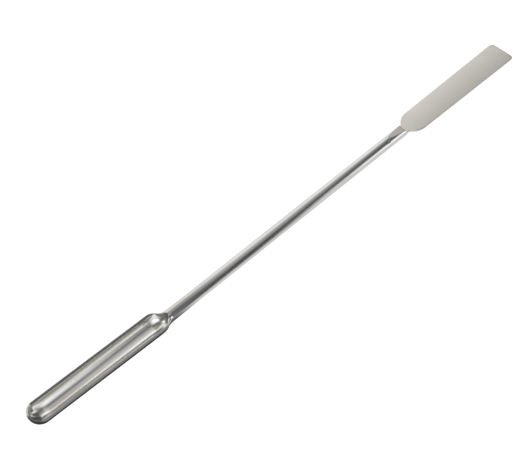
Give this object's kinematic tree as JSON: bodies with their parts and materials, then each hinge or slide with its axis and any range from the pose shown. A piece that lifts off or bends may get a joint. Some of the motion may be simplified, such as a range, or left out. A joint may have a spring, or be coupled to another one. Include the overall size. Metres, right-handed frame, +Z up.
{
  "type": "laboratory spatula",
  "caption": "Steel laboratory spatula: a half-round trough scoop at one end of a round shank and a thin flat square-ended blade at the other.",
  "frame": {"origin": "on the surface the spatula lies on, under the middle of its length and of its width", "axes": "+X along the shank towards the flat blade, +Y across the blade, +Z up out of the open trough"},
  "size_m": [0.21, 0.0098, 0.0061],
  "materials": {
    "steel": "polished shank and trough, satin blade"
  },
  "bodies": {
    "root": {"spatula": "steel"}
  },
  "joints": []
}
